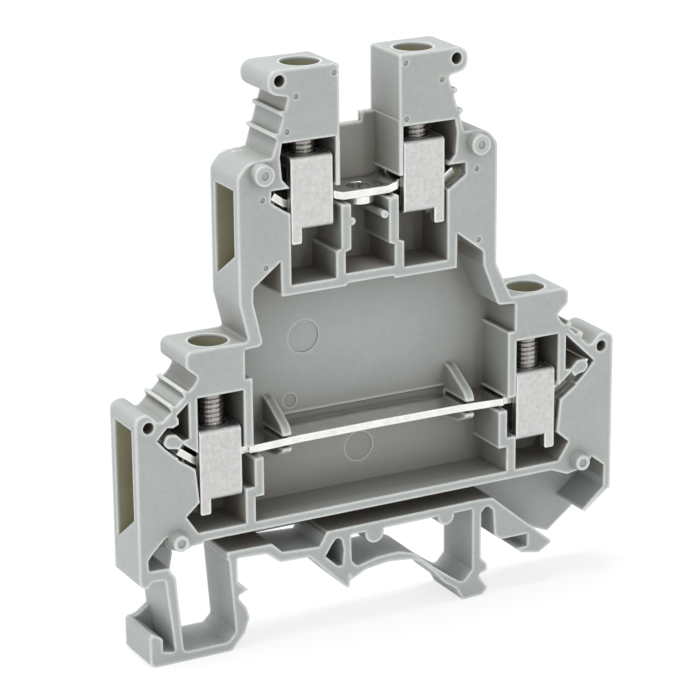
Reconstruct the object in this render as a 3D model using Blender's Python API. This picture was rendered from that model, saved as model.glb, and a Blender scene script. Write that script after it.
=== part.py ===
"""A two-tier screw terminal block for a 35 mm mounting rail.

Lengths are in millimetres and become metres where a mesh is made.
X runs along the block, Y from its open side to its closed side, and Z up.
The origin is under the middle of the block, at the bottom of its foot.
"""
import math
from types import SimpleNamespace

import bmesh
import bpy
from mathutils import Matrix, Vector

MM = 0.001

# Overall sizes of the block
LENGTH = 56.0
HEIGHT = 60.5
THICKNESS = 6.2

# The closed side's wall, and the shallow groove in it that the lower bar's back edge enters
BACK_WALL = 0.8
GROOVE_DEPTH = 0.3
GROOVE_RISE = 0.7

# Marks of the mould: small pits on the open side and ejector rings in the recess
PIT_RADIUS = 0.32
PIT_DEPTH = 0.15
RING_DEPTH = 0.12

# Clearances
SEAT_GAP = 0.3
SLIDE_GAP = 0.25
TURN_GAP = 0.2
THREAD_GAP = 0.15

# Pegs that locate the next block, and their sockets in the closed side
PEG_RADIUS = 1.17
PEG_LENGTH = 1.2
SOCKET_GAP = 0.15
SOCKET_DEPTH = 1.35

# Screws
SCREW_RADIUS = 1.5
SCREW_LENGTH = 7.3
HEAD_RADIUS = 1.8
HEAD_HEIGHT = 1.9
SLOT_WIDTH = 0.7
SLOT_DEPTH = 0.9
SHAFT_RADIUS = HEAD_RADIUS + 0.25

# Clamping cages, folded from sheet
CAGE_WIDTH = 4.7
CAGE_HEIGHT = 7.6
CAGE_DEPTH = 4.8
CAGE_SHEET = 0.8
CAGE_ROOF = 1.2
CAGE_BEND = 0.5
LUG_WIDTH = 1.15
LUG_LENGTH = 1.4

# Current bars
BAR_THICKNESS = 0.8
BAR_WIDTH = 2.9
BAR_BEND = 0.9
BAR_MARGIN = 0.35
FIN_FRONT = 0.75
COLLAR_RADIUS = 1.75
COLLAR_BORE = 1.25
COLLAR_DROP = 0.8

# Rail seat and foot, measured from the bottom of the foot
RAIL_MIDDLE = 0.4
RAIL_WIDTH = 35.0
RAIL_SEAT = 6.05
FOOT_PLATE = 1.0
STRIP_TOP = 13.7

# Heights of the steps in the silhouette
WAIST = 37.1
END_FOOT = 9.2
BRIDGE = 52.7
BRIDGE_STEP = 1.0

# Sides of round holes and round pieces
HOLE_SIDES = 24
SCREW_SIDES = 20
SMALL_SIDES = 14

FRONT = (PEG_LENGTH - THICKNESS) / 2
BACK = FRONT + THICKNESS
WALL_FACE = BACK - BACK_WALL
OUTSIDE = 1.0
STRAIGHT = math.radians(179)
CAGE_FRONT = FRONT + SEAT_GAP
AXIS_Y = CAGE_FRONT + CAGE_DEPTH / 2
BAR_FRONT = AXIS_Y - BAR_WIDTH / 2
BAR_BACK = AXIS_Y + BAR_WIDTH / 2

# The two tiers: the upper one stands a little to the left of the lower one
UPPER = SimpleNamespace(
    name="upper", middle=-1.42, end=14.83, inset=8.4, top=HEIGHT, ceiling=HEIGHT - 7.4,
    cage_top=HEIGHT - 9.1, floor=38.3, pad=47.1, neck=-2.75,
    taper=0.1, wall=2.98)
LOWER = SimpleNamespace(
    name="lower", middle=0.0, end=LENGTH / 2, inset=9.42, top=33.1, ceiling=28.15,
    cage_top=24.4, floor=STRIP_TOP, pad=21.6, neck=-3.58,
    taper=0.35, wall=3.28)
SIDES = {"left": -1, "right": 1}


def screw_reach(tier):
    """The distance from the tier's middle to its screws."""
    return tier.end - tier.inset


def place(tier, side, out):
    """The X of a point that lies the given distance outside the tier's screw."""
    return tier.middle + side * (screw_reach(tier) + out)


def near_screw(tier, side, points):
    """Turns points measured from the screw and the tower's top into X and Z."""
    return [(place(tier, side, p[0]), tier.top + p[1]) + tuple(p[2:]) for p in points]


def round_corners(points, steps=4):
    """Gives each corner that states a radius an arc, kept within half of its sides."""
    rounded = []
    for index, point in enumerate(points):
        here = Vector(point[:2])
        before = Vector(points[index - 1][:2]) - here
        after = Vector(points[(index + 1) % len(points)][:2]) - here
        if len(point) < 3 or before.angle(after) > STRAIGHT:
            rounded.append(tuple(here))
            continue
        half = before.angle(after) / 2
        reach = min(point[2] / math.tan(half), before.length * 0.49, after.length * 0.49)
        middle = here + (before.normalized() + after.normalized()).normalized() * reach / math.cos(half)
        start = here + before.normalized() * reach - middle
        sweep = start.angle_signed(here + after.normalized() * reach - middle)
        for step in range(steps + 1):
            rounded.append(tuple(middle + Matrix.Rotation(-sweep * step / steps, 2) @ start))
    return rounded


def new_object(name, mesh_data):
    """Makes an object of the mesh data, with its faces pointing out."""
    bmesh.ops.recalc_face_normals(mesh_data, faces=mesh_data.faces)
    mesh = bpy.data.meshes.new(name)
    mesh_data.to_mesh(mesh)
    mesh_data.free()
    made = bpy.data.objects.new(name, mesh)
    bpy.context.collection.objects.link(made)
    return made


def in_space(axis, a, b, along):
    """A point in metres: a and b across the axis, and the place along it."""
    order = {"X": (along, a, b), "Y": (a, along, b), "Z": (a, b, along)}
    return Vector(order[axis]) * MM


def loft(name, axis, rings):
    """A closed solid through rings of points, each given as (place along the axis, points)."""
    shape = bmesh.new()
    rows = [[shape.verts.new(in_space(axis, a, b, along)) for a, b in points] for along, points in rings]
    for row, after in zip(rows, rows[1:]):
        for index in range(len(row)):
            shape.faces.new((row[index - 1], row[index], after[index], after[index - 1]))
    shape.faces.new(rows[0])
    shape.faces.new(rows[-1])
    return new_object(name, shape)


def prism(name, axis, points, start, end):
    """An outline with rounded corners, extruded along the axis."""
    outline = round_corners(points)
    return loft(name, axis, [(start, outline), (end, outline)])


def circle(a, b, radius, sides):
    """The corners of a regular polygon that stands for a circle."""
    turn = 2 * math.pi / sides
    return [(a + radius * math.cos(turn * k), b + radius * math.sin(turn * k)) for k in range(sides)]


def rod(name, axis, a, b, radius, start, end, sides=HOLE_SIDES):
    """A cylinder along the axis."""
    ring = circle(a, b, radius, sides)
    return loft(name, axis, [(start, ring), (end, ring)])


def combine(target, tool, operation):
    """Joins a tool to the target, or cuts it away, and hides the tool."""
    modifier = target.modifiers.new(tool.name, "BOOLEAN")
    modifier.operation = operation
    modifier.solver = "EXACT"
    modifier.object = tool
    tool.hide_render = True
    tool.display_type = "WIRE"


def join(target, tool):
    combine(target, tool, "UNION")


def cut(target, tool):
    combine(target, tool, "DIFFERENCE")


def pocket(name, points, floor=WALL_FACE):
    """A cutter from the open side down to a floor."""
    return prism(name, "Y", points, FRONT - OUTSIDE, floor)


def ribbed(start, end, places, width=0.35, height=0.6):
    """The line from start to end with thin ribs standing on it, for a finger or a label."""
    start, end = Vector(start), Vector(end)
    along = (end - start).normalized()
    outward = Vector((-along.y, along.x))
    points = [tuple(start)]
    for fraction in places:
        root = start.lerp(end, fraction)
        points.append(tuple(root - along * width))
        points.append(tuple(root - along * width / 2 + outward * height))
        points.append(tuple(root + along * width / 2 + outward * height))
        points.append(tuple(root + along * width))
    points.append(tuple(end))
    return points


def upper_half(side):
    """The outline of one upper tower and shoulder, from its inner corner outward."""
    lip = [(-UPPER.wall, 0.0, 0.3), (4.85, 0.0, 1.1), (4.85, -2.35, 1.1), (2.6, -2.8, 0.3)]
    slope = ribbed((2.8, -3.4), (4.5, -8.8), (0.2, 0.61), height=0.5)
    shoulder = [(7.2, -9.0, 1.5), (UPPER.inset, -10.4, 1.2)]
    return near_screw(UPPER, side, lip + slope + shoulder)


def lower_half(side):
    """The outline of one lower tower and end block, from its inner corner to the end's foot."""
    lip = [(-LOWER.wall, 0.0, 0.3), (3.7, 0.0, 0.7), (3.7, -1.7, 0.6), (2.4, -2.8, 0.3)]
    slope = ribbed((2.9, -3.6), (6.3, -6.8), (0.24, 0.66))
    shoulder = [(6.8, -6.9, 0.4), (8.0, -5.7, 1.0), (LOWER.inset, -6.0, 0.8)]
    return near_screw(LOWER, side, lip + slope + shoulder)


def body_outline():
    """The silhouette from the upper towers to the floor strip, without the foot."""
    halves = {}
    for name, side in SIDES.items():
        waist = [(place(UPPER, side, UPPER.inset), WAIST, 0.8)]
        halves[name] = upper_half(side) + waist + lower_half(side)
    inner = near_screw(UPPER, -1, [(-UPPER.wall, 0.0)])[0][0]
    step = inner + 5.4
    bridge = [(inner, BRIDGE), (step, BRIDGE), (step, BRIDGE + BRIDGE_STEP),
              (near_screw(UPPER, 1, [(-UPPER.wall, 0.0)])[0][0], BRIDGE + BRIDGE_STEP)]
    right_foot = [(LENGTH / 2, END_FOOT - 1.2), (26.6, 5.8), (23.4, 3.4), (20.7, 4.5), (13.0, 10.3)]
    left_foot = [(-18.2, 10.1), (-18.2, 12.8), (-22.3, 12.4), (-24.0, 11.7), (-24.75, 10.6),
                 (-24.4, 9.6), (-26.7, 9.4), (-27.3, 8.65, 0.3), (-LENGTH / 2, END_FOOT)]
    return bridge + halves["right"] + right_foot + left_foot + halves["left"][::-1]


def cage_room(tier, side):
    """The cavity where a cage slides, and the notch for the end of the current bar."""
    inner = -CAGE_WIDTH / 2 - SLIDE_GAP
    outer = CAGE_WIDTH / 2 + SLIDE_GAP
    if tier is UPPER:
        points = [(inner, tier.ceiling), (outer + 0.85, tier.ceiling), (outer + 1.1, tier.ceiling - 1.4),
                  (outer + 0.9, 49.4), (outer + 0.05, 48.4), (4.7, 48.4), (4.75, 47.2), (outer, 45.9),
                  (outer, tier.floor), (inner + 0.07, tier.floor), (inner + 0.07, 41.1),
                  (inner - 0.55, 41.3), (inner - 0.55, 48.0), (inner, 48.0)]
    else:
        points = [(inner, tier.ceiling), (outer, tier.ceiling), (outer, 22.3), (4.3, 23.6), (4.8, 22.9),
                  (outer + 0.4, 20.9), (outer, 17.0), (4.1, 15.7), (outer + 0.2, tier.floor),
                  (inner, tier.floor), (inner, 17.5), (inner - 1.08, 17.5), (inner - 1.08, 21.4),
                  (inner, 22.1)]
    return [(place(tier, side, p[0]), p[1]) for p in points]


def wire_funnel(tier, side):
    """The tapering way in for a wire, from the window in the end face to the cage."""
    if tier is UPPER:
        window = [(0.95, 41.9), (5.2, 39.1), (5.2, 48.7), (0.95, 48.7)]
        throat = [(0.95, 42.6), (5.2, 41.2), (5.2, 47.0), (0.95, 47.0)]
        mouth = [(1.2, 42.9), (4.4, 42.9), (4.4, 46.2), (1.2, 46.2)]
    else:
        window = [(1.0, 15.9), (5.2, 12.9), (5.2, 25.6), (1.0, 25.6)]
        throat = [(1.0, 16.6), (5.2, 16.0), (5.2, 23.2), (1.0, 23.2)]
        mouth = [(1.2, 16.6), (4.4, 16.6), (4.4, 21.2), (1.2, 21.2)]
    stations = [(tier.inset + OUTSIDE, window), (tier.inset, window), (tier.inset - 4.3, throat),
                (CAGE_WIDTH / 2, mouth)]
    rings = []
    for out, points in stations:
        rings.append((place(tier, side, out), [(FRONT + y, z) for y, z in points]))
    return loft(f"{tier.name}_funnel_{side}", "X", rings)


def recess_outline():
    """The open middle of the block, down to the closed side's wall."""
    points = []
    for side in (1, -1):
        def upper(reach):
            return UPPER.middle + side * reach
        half = [(side * 14.9, STRIP_TOP), (side * 14.9, 16.45), (side * 13.9, 16.45), (side * 13.9, 21.3),
                (side * 15.0, 22.1), (side * 15.0, 29.25), (side * 15.8, 29.25), (side * 15.8, 32.35),
                (side * 13.7, 32.5, 0.5), (upper(13.33), WAIST, 0.5), (upper(13.3), 38.6, 0.5),
                (upper(10.16), 41.0), (upper(10.1), 37.3), (upper(2.9), 37.3), (upper(2.6), 37.6)]
        points += half if side > 0 else half[::-1]
    return points


def middle_pocket():
    """The pocket between the two ribs in the middle of the upper tier."""
    points = [(-3.4, 54.2), (-3.4, 46.1), (-2.2, 46.1), (-2.2, 41.1), (-2.85, 40.9), (-2.85, 38.6)]
    left = [(UPPER.middle + x, z) for x, z in points]
    right = [(UPPER.middle - x, z) for x, z in points]
    return left + right[::-1]


def bar_line(tier):
    """The middle line of a current bar's top, from its left end to its right end."""
    reach = screw_reach(tier)
    if tier is UPPER:
        half = [(0.0, tier.pad - 0.2), (2.6, tier.pad - 0.2), (4.1, tier.pad + 0.25), (reach, tier.pad),
                (reach + 2.5, tier.pad - 0.25), (reach + 3.7, tier.pad + 0.65)]
    else:
        half = [(0.0, tier.pad + 0.3), (reach / 2, tier.pad + 0.25), (reach - 2.0, tier.pad),
                (reach + 2.3, tier.pad - 0.2), (reach + 4.0, tier.pad + 1.1)]
    left = [(tier.middle - x, z) for x, z in half[:0:-1]]
    return left + [(tier.middle + x, z) for x, z in half]


def strip_outline(line, over, under):
    """The outline of a bent strip, from its top line offset up and down."""
    above, below = [], []
    for index, point in enumerate(line):
        before = Vector(line[max(index - 1, 0)])
        after = Vector(line[min(index + 1, len(line) - 1)])
        normal = Vector((before.y - after.y, after.x - before.x)).normalized()
        above.append(tuple(Vector(point) + normal * over) + (BAR_BEND,))
        below.append(tuple(Vector(point) - normal * under) + (BAR_BEND,))
    above[0], above[-1] = above[0][:2], above[-1][:2]
    below[0], below[-1] = below[0][:2], below[-1][:2]
    return above + below[::-1]


def bar_channel(tier):
    """A cutter that leaves the bar its seat in the walls that it passes."""
    line = bar_line(tier)
    first = Vector(line[0]) + (Vector(line[0]) - Vector(line[1])).normalized() * SEAT_GAP
    last = Vector(line[-1]) + (Vector(line[-1]) - Vector(line[-2])).normalized() * SEAT_GAP
    line = [tuple(first)] + line[1:-1] + [tuple(last)]
    outline = strip_outline(line, SEAT_GAP, BAR_THICKNESS + SEAT_GAP)
    return prism(f"{tier.name}_bar_channel", "Y", outline, FRONT - OUTSIDE, WALL_FACE)


def fin(name, x):
    """A fin on the closed side's wall that carries the lower bar."""
    bar = LOWER.pad
    edge = FRONT + FIN_FRONT
    profile = [(WALL_FACE + 0.2, bar + 3.6), (WALL_FACE - 0.9, bar + 3.3, 0.8), (edge, bar + 1.2, 1.5),
               (edge, bar - 1.3, 0.8), (edge + 1.6, bar - 2.1, 0.8), (WALL_FACE + 0.2, bar - 2.6)]
    return prism(name, "X", profile, x - 0.5, x + 0.5)


def spring_foot():
    """The springy frame on the left: arm, tab, bottom plate, and the leg with its tooth."""
    return [
        (-18.1, 11.0), (-17.4, 1.9, 0.6), (-18.3, FOOT_PLATE, 0.4), (-23.35, FOOT_PLATE, 0.5),
        (-24.05, 9.4, 0.6), (-24.7, 10.3, 0.4), (-27.0, 10.0, 0.4), (-27.0, 9.4), (-25.2, 9.3, 0.3),
        (-24.3, 1.2, 0.2), (-25.7, 1.5, 0.2), (-25.7, 3.0, 0.4), (-26.8, 3.7, 0.2), (-27.1, 3.3, 0.2),
        (-27.1, 0.3, 0.2), (-26.6, 0.0, 0.2), (-17.95, 0.0, 0.3), (-16.4, 1.7, 0.4), (-15.85, 3.3, 0.6),
        (-16.2, 4.5, 0.5), (-17.0, 5.6, 0.2), (-17.0, 6.0), (-15.9, 6.4, 0.1), (-17.1, 7.4, 0.2),
        (-17.1, 11.0)]


def lower_strip():
    """The strip below the groove, with its dip, and the left hook that it carries."""
    return [
        (-18.3, 10.9), (-13.1, 10.9), (-11.9, 9.75), (-7.6, 9.5), (-6.7, 11.0), (11.0, 11.1), (13.2, 11.0),
        (13.2, 10.2), (-3.9, 10.1), (-3.9, 7.3), (-4.1, 6.0), (-4.15, 4.0, 0.2), (-8.8, 8.6),
        (-12.2, 8.7, 0.4), (-13.8, 9.95, 0.4), (-17.2, 10.1), (-18.1, 10.0)]


def arch():
    """The arched web under the strip that bridges the rail, down to the foot's right leg."""
    return [
        (-4.05, 5.0), (-2.2, 5.9, 2.0), (0.55, 6.24, 4.0), (3.3, 5.95, 2.0), (4.5, 5.3, 0.5),
        (6.2, 3.7, 0.5), (7.3, 2.45, 0.4), (8.8, 1.4, 0.3), (9.55, 0.0, 0.1), (12.0, 0.15, 0.3),
        (12.6, 0.8, 0.2), (11.45, 2.5, 0.2), (12.55, 2.85, 0.2), (12.5, 3.6, 0.3), (11.75, 4.4, 0.3),
        (11.75, 10.5), (10.75, 10.5), (10.75, 3.2), (9.6, 1.9, 0.6), (8.0, 3.0), (6.1, 4.45, 0.6),
        (3.7, 6.5, 1.5), (1.9, 7.1, 3.0), (-0.8, 7.0, 2.0),
        (-3.2, 6.4, 0.6), (-3.85, 7.2, 0.4), (-3.9, 8.5), (-4.3, 8.5)]


def right_arm():
    """The fixed hook on the right, whose slot takes the rail's edge."""
    edge = RAIL_MIDDLE + RAIL_WIDTH / 2
    seat = RAIL_SEAT
    return [
        (11.7, 11.0), (13.0, 11.0), (20.7, 4.55, 0.2), (19.0, 3.6, 0.3), (16.9, 4.0), (16.2, 4.6),
        (edge - 0.3, 4.6), (edge - 0.3, seat), (14.7, seat), (14.15, 6.1, 0.2), (11.7, 8.06)]


def foot_recesses():
    """Recesses from the open side in the left end, the left hook and the right arm."""
    return {
        "left_end_recess": [(-27.0, 10.6, 0.3), (-27.05, 11.8, 0.3), (-26.4, 12.6), (-24.8, 14.1, 0.5),
                            (-23.0, 12.6), (-22.0, 11.5), (-23.5, 10.5)],
        "left_hook_recess": [(-6.15, 9.5, 0.5), (-5.6, 10.15, 0.4), (-5.0, 9.8, 0.5), (-4.75, 8.6, 0.5),
                             (-4.9, 6.9), (-5.5, 6.9), (-6.95, 8.3)],
        "right_arm_recess": [(11.8, 6.0), (11.8, 9.6, 0.5), (12.5, 10.35, 0.6), (13.3, 9.6, 0.6),
                             (13.55, 6.0)],
    }


def foot_webs():
    """Thin webs on the closed side that stiffen the spring foot and its tab."""
    return {
        "arm_web": [(-27.2, 14.0), (-27.2, 10.2), (-24.3, 8.0), (-22.3, 8.0), (-21.95, 9.8), (-22.4, 12.6)],
        "tab_web": [(-26.8, 3.5), (-25.9, 3.75), (-24.1, 5.1), (-24.1, 0.5), (-26.8, 0.5)],
    }


def gable(side):
    """The recess under a lower slope, which runs round the guide rib down to the bar's end."""
    nub = [(23.5, 26.7), (23.27, 26.3), (23.27, 25.75), (23.9, 25.48), (24.55, 25.6)] if side < 0 else []
    down = [(25.7, 24.4), (24.75, 23.3), (23.83, 22.42), (22.75, 21.7)]
    rib = [(22.7, 22.7), (23.6, 23.2), (24.5, 23.35, 0.4), (25.0, 23.9, 0.4), (24.6, 24.8, 0.5),
           (23.6, 24.7, 0.4), (22.8, 23.9), (22.1, 24.0)]
    return [(side * point[0],) + point[1:] for point in [(22.1, 27.9)] + nub + down + rib]


def long_groove():
    """The groove between the block and its foot, which widens into a corner on the right."""
    return [
        (-20.8, 12.75), (-20.4, 11.0), (-13.1, 10.9), (-11.9, 9.75), (-7.6, 9.5), (-6.7, 11.0), (11.5, 11.1),
        (13.2, 11.0), (20.5, 4.75), (20.6, 4.0), (22.5, 0.0), (29.5, 0.0), (29.5, 9.45), (27.7, 9.4),
        (27.2, 9.7), (27.2, 12.2), (25.6, 13.5), (24.9, 12.4), (22.5, 12.0), (20.5, 12.8)]


def end_rim():
    """The thin rim that closes the corner of the right end."""
    return [(27.2, 13.0), (27.2, 9.7, 0.3), (24.5, 7.5), (24.8, 7.2), (27.7, 9.4), (27.7, 13.0)]


def make_housing():
    """The moulding: silhouette, foot, cavities, ribs, pegs and holes."""
    body = prism("housing", "Y", body_outline(), FRONT, BACK)
    for name, outline in {"spring_foot": spring_foot(), "lower_strip": lower_strip(), "arch": arch(),
                          "right_arm": right_arm()}.items():
        join(body, prism(name, "Y", outline, FRONT, BACK))
    for name, outline in foot_recesses().items():
        cut(body, pocket(name, outline))
    for name, outline in foot_webs().items():
        join(body, prism(name, "Y", outline, WALL_FACE, BACK))
    for x, radius in ((-1.1, 1.1), (7.5, 0.95)):
        join(body, rod(f"boss_{x}", "Y", x, 10.9 - radius, radius, FRONT, BACK, SMALL_SIDES))
    cut(body, pocket("recess", recess_outline()))
    low, high = LOWER.pad - BAR_THICKNESS - SEAT_GAP, LOWER.pad + SEAT_GAP + GROOVE_RISE
    groove = [(-10.3, low), (10.3, low), (10.3, high), (-10.3, high)]
    cut(body, pocket("wall_groove", groove, WALL_FACE + GROOVE_DEPTH))
    cut(body, pocket("middle_pocket", middle_pocket()))
    cut(body, pocket("long_groove", long_groove()))
    join(body, prism("end_rim", "Y", end_rim(), FRONT, BACK))
    for name, side in SIDES.items():
        for tier in (UPPER, LOWER):
            make_terminal(body, tier, name, side)
        cut(body, pocket(f"gable_{name}", gable(side)))
        join(body, fin(f"fin_{name}", side * 10.8))
    for tier in (UPPER, LOWER):
        cut(body, bar_channel(tier))
    for x, z in ((-3.5, 44.0), (0.3, 44.2)):
        join(body, rod(f"nub_{x}", "Y", x, z, 0.4, FRONT, WALL_FACE + 0.2, SMALL_SIDES))
    add_marks(body)
    return body


def add_marks(body):
    """Small pits on the open side, and ejector rings on the recess's floor."""
    pits = [(-9.64, 57.66), (-10.7, 54.18), (-5.37, 59.57), (2.72, 59.58), (2.82, 53.8), (6.9, 57.4),
            (-13.52, 47.57), (-13.26, 40.54), (11.03, 47.59), (11.28, 39.96)]
    for index, (x, z) in enumerate(pits):
        cut(body, rod(f"pit_{index}", "Y", x, z, PIT_RADIUS, FRONT - OUTSIDE, FRONT + PIT_DEPTH, 8))
    for index, (x, z, radius) in enumerate([(-6.43, 30.77, 1.75), (-0.06, 17.58, 1.6), (-8.13, 24.0, 0.75)]):
        cut(body, rod(f"ring_{index}", "Y", x, z, radius, FRONT - OUTSIDE, WALL_FACE + RING_DEPTH))


def make_terminal(body, tier, name, side):
    """The cavity, shaft, funnel, peg, socket and tube of one terminal."""
    x = place(tier, side, 0.0)
    cut(body, pocket(f"{tier.name}_room_{name}", cage_room(tier, side)))
    seat = tier.pad + SCREW_LENGTH
    cut(body, rod(f"{tier.name}_shaft_{name}", "Z", x, AXIS_Y, SHAFT_RADIUS, seat, tier.top + OUTSIDE))
    cut(body, rod(f"{tier.name}_neck_{name}", "Z", x, AXIS_Y, SCREW_RADIUS + TURN_GAP,
                  tier.ceiling - OUTSIDE, seat + 0.1))
    cut(body, wire_funnel(tier, side))
    peg_out, peg_height = (5.91, 50.34) if tier is UPPER else (5.22, 13.4)
    peg_x = place(tier, side, peg_out)
    rings = [(FRONT - PEG_LENGTH, circle(peg_x, peg_height, PEG_RADIUS - tier.taper, HOLE_SIDES)),
             (FRONT + 0.5, circle(peg_x, peg_height, PEG_RADIUS, HOLE_SIDES))]
    join(body, loft(f"{tier.name}_peg_{name}", "Y", rings))
    cut(body, rod(f"{tier.name}_peg_pit_{name}", "Y", peg_x, peg_height, PEG_RADIUS * 0.4,
                  FRONT - PEG_LENGTH - OUTSIDE, FRONT - PEG_LENGTH + PIT_DEPTH, SMALL_SIDES))
    cut(body, rod(f"{tier.name}_socket_{name}", "Y", peg_x, peg_height, PEG_RADIUS + SOCKET_GAP,
                  BACK - SOCKET_DEPTH, BACK + OUTSIDE))
    tube_out, tube_drop = (3.6, 1.1) if tier is UPPER else (8.0, 7.2)
    cut(body, rod(f"{tier.name}_tube_{name}", "Y", place(tier, side, tube_out), tier.top - tube_drop, 0.62,
                  FRONT - OUTSIDE, FRONT + 2.5, SMALL_SIDES))


def make_cage(tier, name, side):
    """A folded cage: a sheet box open along X, tapped in its roof, with a lug at its outer side."""
    x = place(tier, side, 0.0)
    top, bottom = tier.cage_top, tier.cage_top - CAGE_HEIGHT
    back = CAGE_FRONT + CAGE_DEPTH
    outer = [(CAGE_FRONT, bottom, CAGE_BEND), (back, bottom, CAGE_BEND), (back, top, CAGE_BEND),
             (CAGE_FRONT, top, CAGE_BEND)]
    inner = [(CAGE_FRONT + CAGE_SHEET, bottom + CAGE_SHEET), (back - CAGE_SHEET, bottom + CAGE_SHEET),
             (back - CAGE_SHEET, top - CAGE_ROOF), (CAGE_FRONT + CAGE_SHEET, top - CAGE_ROOF)]
    half = CAGE_WIDTH / 2
    cage = prism(f"{tier.name}_{name}_cage", "X", outer, x - half, x + half)
    cut(cage, prism(f"{cage.name}_inside", "X", inner, x - half - OUTSIDE, x + half + OUTSIDE))
    cut(cage, rod(f"{cage.name}_tapping", "Z", x, AXIS_Y, SCREW_RADIUS + THREAD_GAP,
                  top - CAGE_ROOF - OUTSIDE, top + OUTSIDE))
    near, far = x + side * (half - LUG_WIDTH), x + side * half
    lug = [(near, bottom + 1.0), (far, bottom + 1.0), (far, bottom - LUG_LENGTH, 0.2),
           (near, bottom - LUG_LENGTH, 0.2)]
    join(cage, prism(f"{cage.name}_lug", "Y", lug, CAGE_FRONT, CAGE_FRONT + CAGE_SHEET))
    return cage


def make_screw(tier, name, side):
    """A slotted screw whose head stands on the seat in its shaft."""
    x = place(tier, side, 0.0)
    tip = tier.pad + SEAT_GAP + 0.1
    seat = tier.pad + SCREW_LENGTH + SEAT_GAP
    top = seat + HEAD_HEIGHT
    profile = [(SCREW_RADIUS - 0.4, tip), (SCREW_RADIUS, tip + 0.4), (SCREW_RADIUS, seat),
               (HEAD_RADIUS, seat), (HEAD_RADIUS, top - 0.3), (HEAD_RADIUS - 0.3, top)]
    rings = [(z, circle(x, AXIS_Y, radius, SCREW_SIDES)) for radius, z in profile]
    screw = loft(f"{tier.name}_{name}_screw", "Z", rings)
    half = SLOT_WIDTH / 2
    slot = [(x - HEAD_RADIUS * 2, AXIS_Y - half), (x + HEAD_RADIUS * 2, AXIS_Y - half),
            (x + HEAD_RADIUS * 2, AXIS_Y + half), (x - HEAD_RADIUS * 2, AXIS_Y + half)]
    cut(screw, prism(f"{screw.name}_slot", "Z", slot, top - SLOT_DEPTH, top + OUTSIDE))
    return screw


def make_bar(tier):
    """A current bar: a bent strip, with a tapped collar in the middle of the upper one."""
    bar = prism(f"{tier.name}_current_bar", "Y", strip_outline(bar_line(tier), 0.0, BAR_THICKNESS),
                BAR_FRONT - BAR_MARGIN, WALL_FACE - SEAT_GAP)
    for name, side in SIDES.items():
        near, far = sorted((place(tier, side, tier.neck), place(tier, side, tier.inset)))
        for start, end in ((FRONT - OUTSIDE, BAR_FRONT), (BAR_BACK, BACK)):
            notch = [(near, tier.pad - 5), (far, tier.pad - 5), (far, tier.pad + 5), (near, tier.pad + 5)]
            cut(bar, prism(f"{bar.name}_notch_{name}_{start:.0f}", "Y", notch, start, end))
    if tier is UPPER:
        top = tier.pad - 0.2
        drop = top - BAR_THICKNESS - COLLAR_DROP
        join(bar, rod("collar", "Z", tier.middle, AXIS_Y, COLLAR_RADIUS, drop, top - 0.3))
        cut(bar, rod("collar_bore", "Z", tier.middle, AXIS_Y, COLLAR_BORE, drop - OUTSIDE, top + OUTSIDE))
    return bar


def material(name, colour, roughness, metallic):
    """A plain surface for one kind of piece."""
    made = bpy.data.materials.new(name)
    made.use_nodes = True
    surface = made.node_tree.nodes["Principled BSDF"]
    surface.inputs["Base Color"].default_value = colour + (1.0,)
    surface.inputs["Roughness"].default_value = roughness
    surface.inputs["Metallic"].default_value = metallic
    return made


def main():
    for old in list(bpy.data.objects):
        bpy.data.objects.remove(old)
    plastic = material("grey_plastic", (0.40, 0.42, 0.41), 0.45, 0.0)
    plated = material("plated_steel", (0.72, 0.72, 0.70), 0.35, 1.0)
    bright = material("bright_bar", (0.85, 0.84, 0.80), 0.2, 1.0)
    dark = material("screw_steel", (0.45, 0.45, 0.44), 0.4, 1.0)
    pieces = [(make_housing(), plastic)]
    for tier in (UPPER, LOWER):
        pieces.append((make_bar(tier), bright))
        for name, side in SIDES.items():
            pieces.append((make_cage(tier, name, side), plated))
            pieces.append((make_screw(tier, name, side), dark))
    for piece, surface in pieces:
        piece.data.materials.append(surface)


main()
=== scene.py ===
# %% [markdown]
# # Dressing a two-tier rail terminal block
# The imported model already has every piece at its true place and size. This lesson
# gives it a camera, a light, and surfaces that look like moulded plastic and plated
# metal. It also swaps the four plain screws for threaded ones, and the housing for a
# copy with shallower sockets and smooth shading.

# %% Load the fixed frame
import math

import bmesh
import bpy
from mathutils import Matrix, Quaternion, Vector


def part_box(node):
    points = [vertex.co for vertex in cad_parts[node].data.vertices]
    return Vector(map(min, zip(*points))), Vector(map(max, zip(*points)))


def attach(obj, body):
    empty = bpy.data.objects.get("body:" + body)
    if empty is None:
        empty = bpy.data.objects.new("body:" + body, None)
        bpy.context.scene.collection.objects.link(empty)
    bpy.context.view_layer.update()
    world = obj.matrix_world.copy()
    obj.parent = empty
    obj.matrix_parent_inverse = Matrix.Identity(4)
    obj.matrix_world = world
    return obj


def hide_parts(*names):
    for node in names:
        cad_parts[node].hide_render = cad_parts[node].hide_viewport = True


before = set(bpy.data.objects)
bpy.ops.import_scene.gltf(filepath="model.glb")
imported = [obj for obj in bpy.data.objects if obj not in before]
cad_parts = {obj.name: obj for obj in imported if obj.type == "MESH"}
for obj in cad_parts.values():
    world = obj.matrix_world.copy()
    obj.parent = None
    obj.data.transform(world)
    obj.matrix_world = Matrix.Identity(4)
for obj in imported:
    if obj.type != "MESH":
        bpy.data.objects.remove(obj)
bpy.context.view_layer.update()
MM = 0.001


print("nodes:", sorted(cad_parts))

# %% [markdown]
# ## Camera
# A small product like this is photographed from some 30 cm away with a long lens, so
# its edges stay almost parallel. The camera stands to the left and a little above.
# Its place, turn and lens could be tried by hand until the picture fits. Here they
# were worked out from the block's known size, so that its corners fall where the
# photograph has them.

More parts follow.
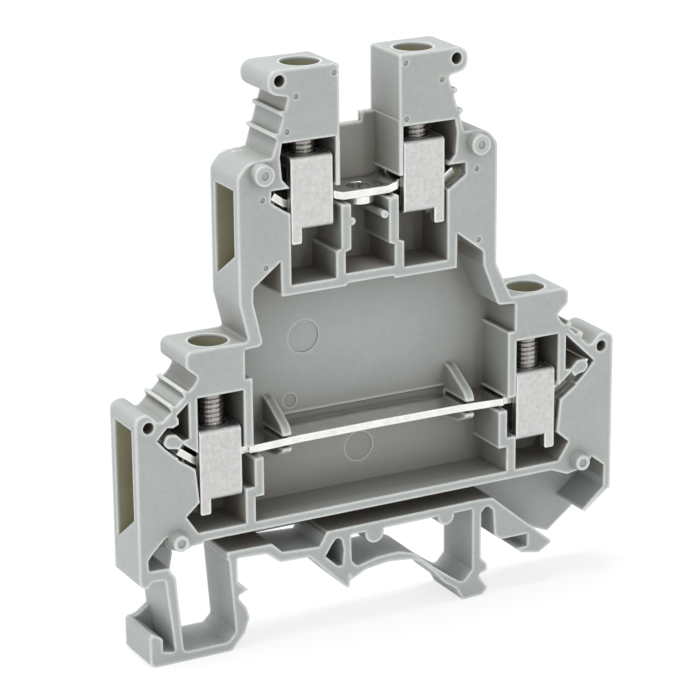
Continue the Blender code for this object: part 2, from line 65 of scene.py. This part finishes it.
# %% Set the camera
AZIMUTH, ELEVATION, ROLL = math.radians(-27.94), math.radians(18.44), math.radians(-0.46)
LENS_MM, SENSOR_MM = 156.27, 36.0
CAMERA_PLACE_MM = (-141.75, -262.47, 128.53)
NEAREST_MM = 10
camera_data = bpy.data.cameras.new("camera")
camera_data.sensor_fit = "HORIZONTAL"
camera_data.sensor_width = SENSOR_MM
camera_data.lens = LENS_MM
camera_data.clip_start = NEAREST_MM * MM
camera = bpy.data.objects.new("camera", camera_data)
bpy.context.collection.objects.link(camera)
toward_camera = Vector((math.sin(AZIMUTH) * math.cos(ELEVATION),
                        -math.cos(AZIMUTH) * math.cos(ELEVATION),
                        math.sin(ELEVATION)))
camera.rotation_mode = "QUATERNION"
camera.rotation_quaternion = (-toward_camera).to_track_quat("-Z", "Y") @ Quaternion((0, 0, 1), ROLL)
camera.location = Vector(CAMERA_PLACE_MM) * MM
bpy.context.scene.camera = camera
bpy.context.scene.view_settings.view_transform = "Standard"
print("camera at", [round(value, 4) for value in camera.location])

# %% [markdown]
# ## White paper
# The block was shot on white, with only a soft shadow under it. Stronger lamps would
# turn the paper white, but they would bleach the grey plastic too. So the paper is a
# plain pale sheet that shows three quarters of its colour by its own light, and only
# where the camera, a reflection or a refraction looks.

# %% Tell looking from lighting
def new_surface(name):
    """A material with its node tree and its main shader."""
    surface = bpy.data.materials.new(name)
    surface.use_nodes = True
    return surface, surface.node_tree, surface.node_tree.nodes["Principled BSDF"]


def reckon(tree, operation, *values):
    """What a Math node makes of these values. Each is another node's output or a plain number."""
    node = tree.nodes.new("ShaderNodeMath")
    node.operation = operation
    for socket, value in zip(node.inputs, values):
        if isinstance(value, float):
            socket.default_value = value
        else:
            tree.links.new(value, socket)
    return node.outputs[0]


def seen_as(tree, share, lit, looked_at):
    """The lit shader, with this share of the other one wherever the surface is looked at."""
    rays = tree.nodes.new("ShaderNodeLightPath").outputs
    direct = reckon(tree, "MAXIMUM", rays["Is Camera Ray"], rays["Is Glossy Ray"])
    direct = reckon(tree, "MAXIMUM", direct, rays["Is Transmission Ray"])
    choose = tree.nodes.new("ShaderNodeMixShader")
    tree.links.new(reckon(tree, "MULTIPLY", direct, share), choose.inputs["Fac"])
    tree.links.new(lit, choose.inputs[1])
    tree.links.new(looked_at, choose.inputs[2])
    return choose.outputs[0]


white_paper, tree, shader = new_surface("white_paper")
print("material:", white_paper.name)

# %% Lay the paper
PAPER_REACH_METRES = 3.0
PAPER_GLOW = 0.75


def placed(name, shape):
    """An object in the scene that takes over a finished bmesh."""
    mesh = bpy.data.meshes.new(name)
    shape.to_mesh(mesh)
    shape.free()
    piece = bpy.data.objects.new(name, mesh)
    bpy.context.collection.objects.link(piece)
    return piece


sheet = bmesh.new()
bmesh.ops.create_grid(sheet, x_segments=1, y_segments=1, size=PAPER_REACH_METRES)
paper = placed("paper", sheet)
shader.inputs["Base Color"].default_value = (0.93, 0.93, 0.93, 1)
shader.inputs["Roughness"].default_value = 0.9
glow = tree.nodes.new("ShaderNodeEmission")
glow.inputs["Strength"].default_value = 1.0
tree.links.new(seen_as(tree, PAPER_GLOW, shader.outputs[0], glow.outputs[0]),
               tree.nodes["Material Output"].inputs["Surface"])
paper.data.materials.append(white_paper)
print("paper, in metres:", paper.dimensions[:2])

# %% [markdown]
# ## Sky and lamps
# A studio's pale walls light the block from all round, and shiny metal mirrors them.
# The world can be both, a little brighter where a reflection looks than where it
# lights the block. Three lamps add the rest. A big soft box overhead lights the tops
# and casts the shadow, one at the left lifts the faces on that side, and a narrow
# strip in front puts a streak on the screws. All three are area lamps, because
# their size sets how soft the light is.

# %% Set the sky
SKY_LIGHT = 0.76
world = bpy.data.worlds.new("studio")
world.use_nodes = True
bpy.context.scene.world = world
sky = world.node_tree
dim = sky.nodes["Background"]
dim.inputs["Color"].default_value = (1, 1, 1, 1)
dim.inputs["Strength"].default_value = SKY_LIGHT
pale = sky.nodes.new("ShaderNodeBackground")
pale.inputs["Color"].default_value = (0.8, 0.8, 0.8, 1)
pale.inputs["Strength"].default_value = 1.0
sky.links.new(seen_as(sky, 1.0, dim.outputs[0], pale.outputs[0]),
              sky.nodes["World Output"].inputs["Surface"])
print("sky strength:", SKY_LIGHT)

# %% Hang the lamps
AIM_MM = (0, 0, 30)


def soft_lamp(name, place_mm, width_mm, height_mm, power):
    """A soft box that looks at the middle of the block."""
    data = bpy.data.lights.new(name, "AREA")
    data.shape = "RECTANGLE"
    data.size, data.size_y = width_mm * MM, height_mm * MM
    data.energy = power
    lamp = bpy.data.objects.new(name, data)
    lamp.location = Vector(place_mm) * MM
    lamp.rotation_euler = (Vector(AIM_MM) * MM - lamp.location).to_track_quat("-Z", "Y").to_euler()
    bpy.context.collection.objects.link(lamp)
    print("lamp:", name, power, "W")


soft_lamp("overhead", place_mm=(-80, 40, 560), width_mm=240, height_mm=240, power=2.4)
soft_lamp("left", place_mm=(-520, -160, 240), width_mm=200, height_mm=200, power=0.4)
soft_lamp("strip", place_mm=(95, -420, 150), width_mm=24, height_mm=300, power=0.22)

# %% [markdown]
# ## Grey moulded plastic
# The housing is grey polyamide from a spark-eroded mould: a satin grey with a touch
# of green, faint clouds where the melt flowed, and fine specks. A flat colour would
# look like paint, and an image would have to be wrapped round the shape. Noise that
# reads Object coordinates needs no wrapping and stays with the piece, so two sizes
# of it are blended.

# %% Cloud and speck the plastic
# A Mix node keeps its colour sockets at these places.
COLOUR_A, COLOUR_B, COLOUR_RESULT = 6, 7, 2


def patches(tree, size_mm, detail=3.0):
    """Cloudy patches about this many millimetres across, from 0 to 1."""
    coordinates = tree.nodes.new("ShaderNodeTexCoord")
    noise = tree.nodes.new("ShaderNodeTexNoise")
    noise.inputs["Scale"].default_value = 1 / (size_mm * MM)
    noise.inputs["Detail"].default_value = detail
    tree.links.new(coordinates.outputs["Object"], noise.inputs["Vector"])
    return noise.outputs["Fac"]


def toned(tree, factor, *stops):
    """Turns a 0 to 1 value into colours. Each stop is a place on it and the colour there."""
    node = tree.nodes.new("ShaderNodeValToRGB")
    elements = node.color_ramp.elements
    for place, colour in stops[1:-1]:
        elements.new(place)
    for element, (place, colour) in zip(elements, stops):
        element.position, element.color = place, (*colour, 1)
    tree.links.new(factor, node.inputs["Fac"])
    return node.outputs["Color"]


def blended(tree, factor, first, second):
    """The first colour where the factor is 0, and the second where it is 1."""
    node = tree.nodes.new("ShaderNodeMix")
    node.data_type = "RGBA"
    if isinstance(factor, float):
        node.inputs["Factor"].default_value = factor
    else:
        tree.links.new(factor, node.inputs["Factor"])
    tree.links.new(first, node.inputs[COLOUR_A])
    tree.links.new(second, node.inputs[COLOUR_B])
    return node.outputs[COLOUR_RESULT]


moulding, tree, shader = new_surface("grey_moulding")
clouds = toned(tree, patches(tree, size_mm=9.0), (0.35, (0.325, 0.347, 0.337)), (0.65, (0.36, 0.383, 0.373)))
specks = toned(tree, patches(tree, size_mm=0.45, detail=2.0),
               (0.3, (0.31, 0.33, 0.325)), (0.7, (0.375, 0.40, 0.385)))
open_grey = blended(tree, 0.45, clouds, specks)
print("nodes so far:", len(tree.nodes))

# %% [markdown]
# ### Painted shade in the recesses
# Deep in the housing the plastic looks darker and warmer than on its open faces. The
# lamps alone give part of that, and the rest is painted shade. It could be painted
# face by face, but the Ambient Occlusion node already measures how open each point
# is, so the painted shade follows the shape by itself.

# %% Darken the recesses
SHADE_SAMPLES = 8


def stretched(tree, value, old=(0.0, 1.0), new=(0.0, 1.0)):
    """Stretches a value's old range to a new one, and stops at its ends."""
    node = tree.nodes.new("ShaderNodeMapRange")
    for socket, number in zip(("From Min", "From Max", "To Min", "To Max"), (*old, *new)):
        node.inputs[socket].default_value = number
    tree.links.new(value, node.inputs["Value"])
    return node.outputs["Result"]


def exposed(tree, reach_mm, low, high):
    """1 on open faces, and 0 deep in a hole or a corner, seen within this reach."""
    open_sky = tree.nodes.new("ShaderNodeAmbientOcclusion")
    open_sky.samples = SHADE_SAMPLES
    open_sky.inputs["Distance"].default_value = reach_mm * MM
    return stretched(tree, open_sky.outputs["AO"], old=(low, high))


# Painted shade: the less open a point is, the darker and warmer its painted colour.
painted_recess_shade = toned(tree, exposed(tree, reach_mm=9.0, low=0.1, high=0.6), (0.0, (0.16, 0.148, 0.125)),
                  (0.5, (0.22, 0.215, 0.192)), (1.0, (0.255, 0.26, 0.243)))
print("nodes so far:", len(tree.nodes))

# %% [markdown]
# ### Places with painted light and shade of their own
# Some places differ by where they are. The wire funnels and the screw shafts are
# painted olive, a painted glow of light coming through the plastic. The rooms round
# the cages are painted darkest, a painted shade. The foot is left out of the painted
# recess shade, so it stays nearly as pale as the open faces, though its gaps are
# narrow. Each place could have a material and faces of its own, but then the mesh
# would need seams there. Boxes in the piece's own coordinates mark the places without them.

# %% Mark the places
BOTH_SIDES, ONE_SIDE = True, False
FUNNELS = [((25.8, 30.0), (12.5, 26.0), BOTH_SIDES),
           ((10.5, 18.0), (38.5, 49.5), BOTH_SIDES)]
SHAFTS = [((16.3, 21.0), (28.5, 32.7), BOTH_SIDES),
          ((-10.1, -5.6), (53.5, 60.1), ONE_SIDE),
          ((2.75, 7.25), (53.5, 60.1), ONE_SIDE)]
ROOMS = [((15.7, 22.3), (18.5, 28.5), BOTH_SIDES),
         ((-11.4, -5.2), (45.5, 53.4), ONE_SIDE),
         ((2.4, 8.5), (45.5, 53.4), ONE_SIDE)]
FUNNELS_Y, SHAFTS_Y, ROOMS_Y = (1.5, 2.8), (-2.35, 2.4), (-2.2, 3.2)
FOOT_Z, FOOT_OPENNESS = (-1.0, 10.6), 0.95


def within(tree, axis, low_mm, high_mm, mirrored=False):
    """1 where a piece's own X, Y or Z lies in this range, on both sides if it is mirrored."""
    coordinates = tree.nodes.new("ShaderNodeTexCoord")
    parts = tree.nodes.new("ShaderNodeSeparateXYZ")
    tree.links.new(coordinates.outputs["Object"], parts.inputs["Vector"])
    value = parts.outputs[axis]
    if mirrored:
        value = reckon(tree, "ABSOLUTE", value)
    middle, reach = (low_mm + high_mm) / 2 * MM, (high_mm - low_mm) / 2 * MM
    return reckon(tree, "COMPARE", value, middle, reach)


def in_places(tree, places, y_mm):
    """1 inside any of these places, given by their X and Z ranges in mm, and 0 elsewhere."""
    inside = [reckon(tree, "MULTIPLY", within(tree, "X", *x_mm, sides), within(tree, "Z", *z_mm))
              for x_mm, z_mm, sides in places]
    anywhere = inside[0]
    for place in inside[1:]:
        anywhere = reckon(tree, "MAXIMUM", anywhere, place)
    return reckon(tree, "MULTIPLY", anywhere, within(tree, "Y", *y_mm))


# Where the painted light through the plastic goes: the funnels and the shafts.
through_light_places = reckon(tree, "MAXIMUM", in_places(tree, FUNNELS, FUNNELS_Y), in_places(tree, SHAFTS, SHAFTS_Y))
# Where the painted shade of the cage rooms goes.
rooms = in_places(tree, ROOMS, ROOMS_Y)
# The foot is left almost out of the painted recess shade.
foot = reckon(tree, "MULTIPLY", within(tree, "Z", *FOOT_Z), FOOT_OPENNESS)
print("places marked:", len(FUNNELS + SHAFTS + ROOMS) + 1)

# %% Tone the places
# Painted light: olive stands for light coming through the plastic.
painted_through_light = toned(tree, patches(tree, size_mm=3.0), (0.3, (0.25, 0.24, 0.145)), (0.7, (0.30, 0.29, 0.19)))
# Painted shade: the rooms round the cages are painted dark grey.
shadow = toned(tree, patches(tree, size_mm=3.0), (0.3, (0.11, 0.105, 0.098)), (0.7, (0.15, 0.145, 0.135)))
painted_shade_and_through_light = blended(tree, through_light_places, painted_recess_shade, painted_through_light)
# Painted shade: less open faces take the painted recess shade instead of the open grey.
openness = reckon(tree, "MAXIMUM", exposed(tree, reach_mm=9.0, low=0.5, high=0.98), foot)
body_tone = blended(tree, openness, painted_shade_and_through_light, open_grey)
# Painted shade: the rooms take their dark painted shade over everything else.
body_tone = blended(tree, rooms, body_tone, shadow)
print("nodes so far:", len(tree.nodes))

# %% [markdown]
# ### Edges, gloss and grain
# A mould rounds moulded edges so that they catch the light, and here that light is
# also painted on them as a paler painted highlight. Bevelled edges would add thousands
# of faces to the housing. The Ambient Occlusion node looks inward here to find the
# edges, the Bevel node rounds them in the shading alone, and a very fine noise presses
# in the grain.

# %% Finish the moulding
# How open a flat face and an outer edge measure when the node looks inward.
FLAT_FACE, OUTER_EDGE = 0.92, 0.62
BEVEL_SAMPLES = 6


def edge_highlight_mask(tree, width_mm):
    """1 on a piece's outer edges, and 0 on its flat faces and inner corners."""
    thin = tree.nodes.new("ShaderNodeAmbientOcclusion")
    thin.samples = SHADE_SAMPLES
    thin.inside = True
    thin.only_local = True
    thin.inputs["Distance"].default_value = width_mm * MM
    return stretched(tree, thin.outputs["AO"], old=(FLAT_FACE, OUTER_EDGE))


def grained(tree, height, depth_mm, radius_mm):
    """The normal of a surface with rounded edges, and with a height pattern pressed into it."""
    rounded = tree.nodes.new("ShaderNodeBevel")
    rounded.samples = BEVEL_SAMPLES
    rounded.inputs["Radius"].default_value = radius_mm * MM
    grain = tree.nodes.new("ShaderNodeBump")
    grain.inputs["Strength"].default_value = 1.0
    grain.inputs["Distance"].default_value = depth_mm * MM
    tree.links.new(height, grain.inputs["Height"])
    tree.links.new(rounded.outputs["Normal"], grain.inputs["Normal"])
    return grain.outputs["Normal"]


def lead_in(tree, shader, colour, gloss, normal):
    """Leads a finish's colour, roughness and normal into its shader."""
    tree.links.new(colour, shader.inputs["Base Color"])
    tree.links.new(gloss, shader.inputs["Roughness"])
    tree.links.new(normal, shader.inputs["Normal"])


# Painted highlight: the outer edges are painted paler, where rounded edges catch the light.
rim = toned(tree, patches(tree, size_mm=4.0), (0.3, (0.56, 0.585, 0.565)), (0.7, (0.64, 0.66, 0.64)))
colour = blended(tree, edge_highlight_mask(tree, width_mm=0.4), body_tone, rim)
gloss = stretched(tree, patches(tree, size_mm=2.5), new=(0.42, 0.55))
normal = grained(tree, patches(tree, size_mm=0.22, detail=2.0), depth_mm=0.012, radius_mm=0.22)
lead_in(tree, shader, colour, gloss, normal)
print("moulding nodes:", len(tree.nodes))

# %% [markdown]
# ## Plated metal
# The cages are zinc-plated steel, pale and slightly mottled. The current bars are
# tin-plated and brighter. The screws are darker and glossier than the cages. Three
# separate materials would repeat the same nodes, so one helper makes all three from
# a dark and a light tone, a roughness range and the size of the mottling. It also
# paints shade where the metal is hidden and a highlight on its outer edges.

# %% Plate the metals
def plated(name, dark, light, rough, mottle_mm, radius_mm, shade_dimming, edge_mm=0.3):
    """Plated metal with mottled tone and gloss, with painted shade where it is hidden and a painted
    highlight on its edges.
    """
    surface, tree, shader = new_surface(name)
    shader.inputs["Metallic"].default_value = 1.0
    mottling = toned(tree, patches(tree, mottle_mm, detail=4.0), (0.3, dark), (0.7, light))
    dim_dark, dim_light = ([shade_dimming * part for part in colour] for colour in (dark, light))
    # Painted shade: hidden metal is painted dimmer by this share.
    painted_shade = toned(tree, patches(tree, mottle_mm), (0.3, dim_dark), (0.7, dim_light))
    body = blended(tree, exposed(tree, reach_mm=4.0, low=0.25, high=0.8), painted_shade, mottling)
    # Painted highlight: the outer edges are painted nearly white.
    painted_edge_highlight = toned(tree, patches(tree, mottle_mm), (0.3, (0.90, 0.90, 0.88)), (0.7, (0.95, 0.95, 0.93)))
    colour = blended(tree, edge_highlight_mask(tree, edge_mm), body, painted_edge_highlight)
    gloss = stretched(tree, patches(tree, mottle_mm / 3), new=rough)
    normal = grained(tree, patches(tree, mottle_mm / 6), depth_mm=0.008, radius_mm=radius_mm)
    lead_in(tree, shader, colour, gloss, normal)
    print("metal:", name, len(tree.nodes), "nodes")
    return surface


cage_plate = plated("cage_zinc", (0.56, 0.555, 0.55), (0.67, 0.665, 0.655), rough=(0.42, 0.55),
                    mottle_mm=0.4, radius_mm=0.2, shade_dimming=0.5)
bar_plate = plated("bar_tin", (0.78, 0.77, 0.73), (0.92, 0.91, 0.88), rough=(0.15, 0.3),
                   mottle_mm=1.2, radius_mm=0.12, shade_dimming=0.7)
screw_plate = plated("screw_zinc", (0.35, 0.335, 0.305), (0.47, 0.455, 0.425), rough=(0.2, 0.32),
                     mottle_mm=0.7, radius_mm=0.05, shade_dimming=0.45, edge_mm=0.06)

# %% [markdown]
# ## Threaded clamping screws
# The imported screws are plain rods. The real ones are M3 screws with a coarse rolled
# thread of half a millimetre a turn and a slotted cheese head. A thread could be
# painted with a bump, but its outline would stay straight, so here one turn's profile
# is spun up the axis into a real helix, and cut level at both ends. It is shallower
# than a real M3 thread, because the screws in the photograph look nearly smooth.

# %% Spin the thread
PITCH = 0.5
THREAD_DEPTH = 0.08
TURN_STEPS = 24
SHANK_RADIUS = 1.5
CORE_RADIUS = SHANK_RADIUS - THREAD_DEPTH
# One turn's profile: each point is a radius and a share of the pitch.
TURN = [(CORE_RADIUS, 0.0), (CORE_RADIUS, 0.06), (SHANK_RADIUS, 0.24),
        (SHANK_RADIUS, 0.82), (CORE_RADIUS, 1.0)]
SPARE_TURNS = 2
WELD, FINE_WELD = 0.001, 0.0001


def thread(length):
    """A helix about Z from 0 to the length, open at both ends, in millimetres."""
    shape = bmesh.new()
    points = [shape.verts.new((radius, 0, (share - 1) * PITCH)) for radius, share in TURN]
    profile = [shape.edges.new(pair) for pair in zip(points, points[1:])]
    turns = math.ceil(length / PITCH) + SPARE_TURNS
    bmesh.ops.spin(shape, geom=points + profile, cent=(0, 0, 0), axis=(0, 0, 1),
                   dvec=(0, 0, PITCH / TURN_STEPS), angle=2 * math.pi * turns, steps=TURN_STEPS * turns)
    bmesh.ops.remove_doubles(shape, verts=shape.verts, dist=WELD)
    for height, outward in ((0.0, -1), (length, 1)):
        bmesh.ops.bisect_plane(shape, geom=shape.verts[:] + shape.edges[:] + shape.faces[:], dist=FINE_WELD,
                               plane_co=(0, 0, height), plane_no=(0, 0, outward), clear_outer=True)
    return shape


print("one turn of thread:", TURN_STEPS, "steps, in mm", PITCH, "high and", THREAD_DEPTH, "deep")

# %% [markdown]
# ### Tip and head
# A screw's tip tapers, so that it finds its hole, and a cheese head is a low drum
# with softened corners. Both could be separate pieces set on the thread. Here the
# helix's own open rims are extruded step by step and pulled to circles, so the
# screw stays one closed skin.

# %% Carry the rims on
LEVEL_WITHIN = 0.01
TIP_HEIGHT, TIP_RADIUS = 0.4, SHANK_RADIUS - 0.45
HEAD_RADIUS, HEAD_HEIGHT = 1.8, 1.9
HEAD_CORNER = HEAD_RADIUS - 0.08
# Each step is a height above the thread and a radius.
HEAD_OUTLINE = [(0.0, SHANK_RADIUS - 0.1), (0.02, HEAD_CORNER), (0.1, HEAD_RADIUS),
                (HEAD_HEIGHT - 0.25, HEAD_RADIUS), (HEAD_HEIGHT - 0.07, HEAD_CORNER),
                (HEAD_HEIGHT, HEAD_RADIUS - 0.3)]


def rim_at(shape, height):
    """The open edges that lie at this height."""
    return [edge for edge in shape.edges
            if edge.is_boundary and all(abs(vert.co.z - height) < LEVEL_WITHIN for vert in edge.verts)]


def carry_on(shape, edges, height, radius):
    """Extrudes an open rim to a new height and pulls it to a circle of the radius."""
    grown = bmesh.ops.extrude_edge_only(shape, edges=edges)["geom"]
    for vert in (item for item in grown if isinstance(item, bmesh.types.BMVert)):
        flat = Vector((vert.co.x, vert.co.y, 0)).normalized() * radius
        vert.co = (flat.x, flat.y, height)
    return [item for item in grown if isinstance(item, bmesh.types.BMEdge)]


def screw_skin(shank):
    """A closed screw without its slot, its thread from 0 to the shank's length, in millimetres."""
    shape = thread(shank)
    rim = carry_on(shape, rim_at(shape, 0.0), -TIP_HEIGHT, TIP_RADIUS)
    bmesh.ops.holes_fill(shape, edges=rim)
    rim = rim_at(shape, shank)
    for rise, radius in HEAD_OUTLINE:
        rim = carry_on(shape, rim, shank + rise, radius)
    bmesh.ops.holes_fill(shape, edges=rim)
    bmesh.ops.recalc_face_normals(shape, faces=shape.faces)
    return shape


print("head:", len(HEAD_OUTLINE), "steps from the thread to the top")

# %% [markdown]
# ### Slot and place
# The slot takes a flat driver. It could be modelled by cutting the head's faces by
# hand, but taking a box away with a Boolean gives four clean walls at once. Each
# screw is made in the box that its plain rod fills, so it stays coaxial with its
# tower and its cage, and it rides with the rod's body.

# %% Cut the slots
SLOT_WIDTH, SLOT_DEPTH = 0.7, 0.9
SLOT_LENGTH = 4 * HEAD_RADIUS


def combined(name, shape, tool_shape, operation):
    """The first shape with the second taken away or added, as one finished object."""
    piece, tool = placed(name, shape), placed(f"{name}_tool", tool_shape)
    step = piece.modifiers.new(operation.lower(), "BOOLEAN")
    step.operation = operation
    step.solver = "EXACT"
    step.object = tool
    graph = bpy.context.evaluated_depsgraph_get()
    finished = bpy.data.meshes.new_from_object(piece.evaluated_get(graph))
    piece.modifiers.clear()
    piece.data = finished
    bpy.data.objects.remove(tool)
    return piece


def slotted_screw(name, low, high):
    """A threaded screw with a slotted head that fills the plain screw's box."""
    middle = (low + high) / 2
    length = (high.z - low.z) / MM
    shape = screw_skin(length - HEAD_HEIGHT - TIP_HEIGHT)
    bmesh.ops.translate(shape, verts=shape.verts, vec=(0, 0, TIP_HEIGHT))
    bmesh.ops.scale(shape, verts=shape.verts, vec=(MM, MM, MM))
    bmesh.ops.translate(shape, verts=shape.verts, vec=(middle.x, middle.y, low.z))
    slot = bmesh.new()
    bmesh.ops.create_cube(slot, size=1.0)
    bmesh.ops.scale(slot, verts=slot.verts, vec=(SLOT_LENGTH * MM, SLOT_WIDTH * MM, 2 * SLOT_DEPTH * MM))
    bmesh.ops.translate(slot, verts=slot.verts, vec=(middle.x, middle.y, high.z))
    return combined(name, shape, slot, "DIFFERENCE")


print("slot, in mm:", SLOT_WIDTH, "wide and", SLOT_DEPTH, "deep")

# %% Turn the screws
def coat(piece, finish):
    """Gives a piece one finish all over."""
    piece.data.materials.clear()
    piece.data.materials.append(finish)


for tier in ("upper", "lower"):
    for side in ("left", "right"):
        plain = f"{tier}_{side}_screw"
        low, high = (Vector(corner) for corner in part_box(plain))
        screw = slotted_screw(f"{plain}_threaded", low, high)
        coat(screw, screw_plate)
        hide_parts(plain)
        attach(screw, f"{plain}_body")
        print(screw.name, len(screw.data.polygons), "faces")

# %% [markdown]
# ## Shallow sockets
# Four round sockets in the housing's closed side take the next block's pegs. The
# imported housing has them so deep that the lower two open into the wire ways, and the
# upper two nick the tops of the shoulders. An open socket has no whole floor to lift,
# so round plugs are added with a Boolean, and fill all four up to a shallow floor.

# %% Fill the sockets
SOCKET_RADIUS, SOCKET_FLOOR_Y = 1.34, 3.35
PLUG_STEPS = 48
# Each plug's X, its Z, and the Y where it starts.
PLUGS = [(-13.76, 50.34, 2.35), (10.92, 50.34, 2.35), (-23.8, 13.4, 2.78), (23.8, 13.4, 2.78)]
shell = bmesh.new()
shell.from_mesh(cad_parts["housing"].data)
bmesh.ops.remove_doubles(shell, verts=shell.verts, dist=FINE_WELD * MM)
packed_volume = shell.calc_volume()
plugs = bmesh.new()
for x, z, start in PLUGS:
    length = SOCKET_FLOOR_Y - start
    stand = Matrix.Translation((x, start + length / 2, z)) @ Matrix.Rotation(math.radians(90), 4, "X")
    bmesh.ops.create_cone(plugs, cap_ends=True, segments=PLUG_STEPS, radius1=SOCKET_RADIUS,
                          radius2=SOCKET_RADIUS, depth=length, matrix=Matrix.Scale(MM, 4) @ stand)
bmesh.ops.recalc_face_normals(plugs, faces=plugs.faces)
housing = combined("housing_filled", shell, plugs, "UNION")
print("housing:", len(housing.data.polygons), "faces")

# %% [markdown]
# ### Smooth round forms
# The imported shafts, pegs and bends are made of flat facets, and the real ones are
# round. More facets would make the file heavy. Shading them smooth is enough, as
# long as every edge sharper than a set angle stays a sharp one.

# %% Smooth the housing
SMOOTH_UP_TO = math.radians(28)
look = bmesh.new()
look.from_mesh(housing.data)
for face in look.faces:
    face.smooth = True
for edge in look.edges:
    edge.smooth = edge.is_manifold and edge.calc_face_angle() < SMOOTH_UP_TO
look.to_mesh(housing.data)
print("filled, in cubic mm:", round((look.calc_volume() - packed_volume) / MM ** 3, 2))
look.free()
coat(housing, moulding)
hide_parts("housing")
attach(housing, "block")

# %% [markdown]
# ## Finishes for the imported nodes
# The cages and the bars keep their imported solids, because those already have every
# fold and bend. They could be coated one by one, but a word in each node's name says
# what it is made of, so one loop serves them all.

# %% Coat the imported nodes
FINISHES = {"housing": moulding, "bar": bar_plate, "cage": cage_plate, "screw": screw_plate}
for name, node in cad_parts.items():
    finish = next(surface for word, surface in FINISHES.items() if word in name)
    coat(node, finish)
    print(name, "->", finish.name)
